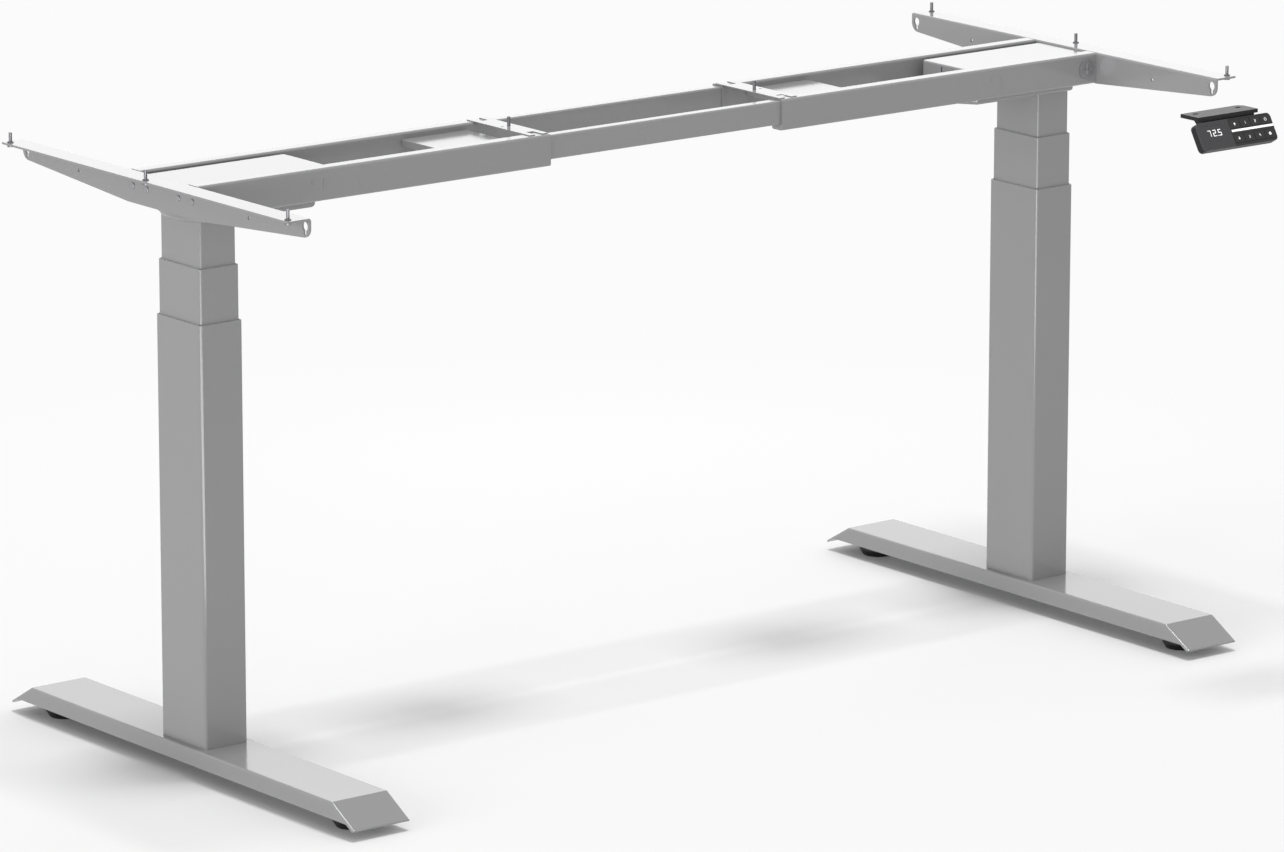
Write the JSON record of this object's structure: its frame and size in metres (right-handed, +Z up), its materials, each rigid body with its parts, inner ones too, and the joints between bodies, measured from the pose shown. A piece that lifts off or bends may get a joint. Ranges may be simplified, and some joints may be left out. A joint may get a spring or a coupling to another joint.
{
  "type": "standing desk frame",
  "caption": "Height-adjustable desk frame: telescopic beam on square three-stage lifting columns, tapered side brackets, flat T feet and a tilted keypad handset.",
  "frame": {"origin": "on the underside of the desktop that the frame carries (the top of the bracket grommets), midway between the two columns and between the front and rear desktop screws", "axes": "+X along the beam towards the handset's column, +Z up, -Y towards the user"},
  "size_m": [1.426, 0.8381, 0.7245],
  "materials": {
    "coat": "satin silver-grey powder coat",
    "zinc": "zinc-plated steel",
    "steel": "ground steel, oiled",
    "casting": "die-cast, matte",
    "motor": "black enamel",
    "glide": "plain moulded",
    "pad": "moulded black",
    "grommet": "soft grey",
    "handset": "fine texture",
    "face": "satin",
    "window": "smoked",
    "key": "soft touch"
  },
  "bodies": {
    "left_base": {"left_foot": "coat", "left_outer_tube": "coat", "left_outer_glides": "glide", "left_foot_screws": "zinc", "left_threaded_post": "steel"},
    "left_middle": {"left_middle_tube": "coat", "left_middle_glides": "glide"},
    "left_top": {"left_inner_tube": "coat", "left_gearbox": "casting", "left_motor": "motor", "left_head_pan": "coat", "left_head_cover": "coat", "left_outer_rails": "coat", "left_bridge_plate": "coat", "left_shelf_plate": "coat", "left_side_bracket": "coat", "left_frame_screws": "zinc", "left_desktop_screws": "zinc", "left_grommets": "grommet"},
    "left_hollow_screw": {"left_hollow_screw": "steel"},
    "left_drive_tube": {"left_drive_tube": "steel"},
    "left_front_pad": {"left_front_pad": "pad"},
    "left_rear_pad": {"left_rear_pad": "pad"},
    "right_base": {"right_foot": "coat", "right_outer_tube": "coat", "right_outer_glides": "glide", "right_foot_screws": "zinc", "right_threaded_post": "steel"},
    "right_middle": {"right_middle_tube": "coat", "right_middle_glides": "glide"},
    "right_top": {"right_inner_tube": "coat", "right_gearbox": "casting", "right_motor": "motor", "right_head_pan": "coat", "right_head_cover": "coat", "right_outer_rails": "coat", "right_bridge_plate": "coat", "right_shelf_plate": "coat", "right_side_bracket": "coat", "right_frame_screws": "zinc", "right_desktop_screws": "zinc", "right_grommets": "grommet", "handset_bracket": "handset", "handset_shell": "handset", "handset_face": "face", "display_window": "window"},
    "right_hollow_screw": {"right_hollow_screw": "steel"},
    "right_drive_tube": {"right_drive_tube": "steel"},
    "right_front_pad": {"right_front_pad": "pad"},
    "right_rear_pad": {"right_rear_pad": "pad"},
    "inner_rails": {"inner_rails": "coat"},
    "key_up": {"key_up": "key"},
    "key_memory_1": {"key_memory_1": "key"},
    "key_memory_2": {"key_memory_2": "key"},
    "key_menu": {"key_menu": "key"},
    "key_down": {"key_down": "key"},
    "key_memory_3": {"key_memory_3": "key"},
    "key_memory_4": {"key_memory_4": "key"},
    "key_lock": {"key_lock": "key"}
  },
  "joints": [
    {"name": "left_lower_lift", "type": "slide", "parent": "left_base", "child": "left_middle", "axis": [0, 0, 1], "range_m": [-0.045, 0.265]},
    {"name": "left_upper_lift", "type": "slide", "parent": "left_middle", "child": "left_top", "axis": [0, 0, 1], "range_m": [-0.045, 0.265]},
    {"name": "left_width_slide", "type": "slide", "parent": "left_top", "child": "inner_rails", "axis": [1, 0, 0], "range_m": [-0.175, 0.185]},
    {"name": "right_width_slide", "type": "slide", "parent": "inner_rails", "child": "right_top", "axis": [1, 0, 0], "range_m": [-0.175, 0.185]},
    {"name": "right_upper_lift", "type": "slide", "parent": "right_top", "child": "right_middle", "axis": [0, 0, -1], "range_m": [-0.045, 0.265]},
    {"name": "right_lower_lift", "type": "slide", "parent": "right_middle", "child": "right_base", "axis": [0, 0, -1], "range_m": [-0.045, 0.265]},
    {"name": "left_screw_turn", "type": "hinge", "parent": "left_middle", "child": "left_hollow_screw", "pos_m": [-0.6355, 0, -0.6], "axis": [0, 0, 1], "range_deg": [-1355, 7955]},
    {"name": "left_drive_turn", "type": "hinge", "parent": "left_top", "child": "left_drive_tube", "pos_m": [-0.6355, 0, -0.05], "axis": [0, 0, 1], "range_deg": [-1355, 7955]},
    {"name": "left_front_pad_turn", "type": "hinge", "parent": "left_base", "child": "left_front_pad", "pos_m": [-0.6355, -0.295, -0.7135], "axis": [0, 0, 1], "continuous": true},
    {"name": "left_rear_pad_turn", "type": "hinge", "parent": "left_base", "child": "left_rear_pad", "pos_m": [-0.6355, 0.295, -0.7135], "axis": [0, 0, 1], "continuous": true},
    {"name": "right_screw_turn", "type": "hinge", "parent": "right_middle", "child": "right_hollow_screw", "pos_m": [0.6355, 0, -0.6], "axis": [0, 0, 1], "range_deg": [-1355, 7955]},
    {"name": "right_drive_turn", "type": "hinge", "parent": "right_top", "child": "right_drive_tube", "pos_m": [0.6355, 0, -0.05], "axis": [0, 0, 1], "range_deg": [-1355, 7955]},
    {"name": "right_front_pad_turn", "type": "hinge", "parent": "right_base", "child": "right_front_pad", "pos_m": [0.6355, -0.295, -0.7135], "axis": [0, 0, 1], "continuous": true},
    {"name": "right_rear_pad_turn", "type": "hinge", "parent": "right_base", "child": "right_rear_pad", "pos_m": [0.6355, 0.295, -0.7135], "axis": [0, 0, 1], "continuous": true},
    {"name": "key_up_press", "type": "slide", "parent": "right_top", "child": "key_up", "axis": [0, 0.8607, -0.509], "range_m": [0, 0.0005], "stiffness_N_per_m": 600},
    {"name": "key_memory_1_press", "type": "slide", "parent": "right_top", "child": "key_memory_1", "axis": [0, 0.8607, -0.509], "range_m": [0, 0.0005], "stiffness_N_per_m": 600},
    {"name": "key_memory_2_press", "type": "slide", "parent": "right_top", "child": "key_memory_2", "axis": [0, 0.8607, -0.509], "range_m": [0, 0.0005], "stiffness_N_per_m": 600},
    {"name": "key_menu_press", "type": "slide", "parent": "right_top", "child": "key_menu", "axis": [0, 0.8607, -0.509], "range_m": [0, 0.0005], "stiffness_N_per_m": 600},
    {"name": "key_down_press", "type": "slide", "parent": "right_top", "child": "key_down", "axis": [0, 0.8607, -0.509], "range_m": [0, 0.0005], "stiffness_N_per_m": 600},
    {"name": "key_memory_3_press", "type": "slide", "parent": "right_top", "child": "key_memory_3", "axis": [0, 0.8607, -0.509], "range_m": [0, 0.0005], "stiffness_N_per_m": 600},
    {"name": "key_memory_4_press", "type": "slide", "parent": "right_top", "child": "key_memory_4", "axis": [0, 0.8607, -0.509], "range_m": [0, 0.0005], "stiffness_N_per_m": 600},
    {"name": "key_lock_press", "type": "slide", "parent": "right_top", "child": "key_lock", "axis": [0, 0.8607, -0.509], "range_m": [0, 0.0005], "stiffness_N_per_m": 600}
  ],
  "couplings": [
    {"joint": "left_upper_lift", "follows": "left_lower_lift", "ratio": 1},
    {"joint": "right_upper_lift", "follows": "left_lower_lift", "ratio": 1},
    {"joint": "right_lower_lift", "follows": "left_lower_lift", "ratio": 1},
    {"joint": "left_screw_turn", "follows": "left_lower_lift", "rad_per_m": 523.6},
    {"joint": "left_drive_turn", "follows": "left_lower_lift", "rad_per_m": 523.6},
    {"joint": "right_screw_turn", "follows": "left_lower_lift", "rad_per_m": 523.6},
    {"joint": "right_drive_turn", "follows": "left_lower_lift", "rad_per_m": 523.6}
  ]
}
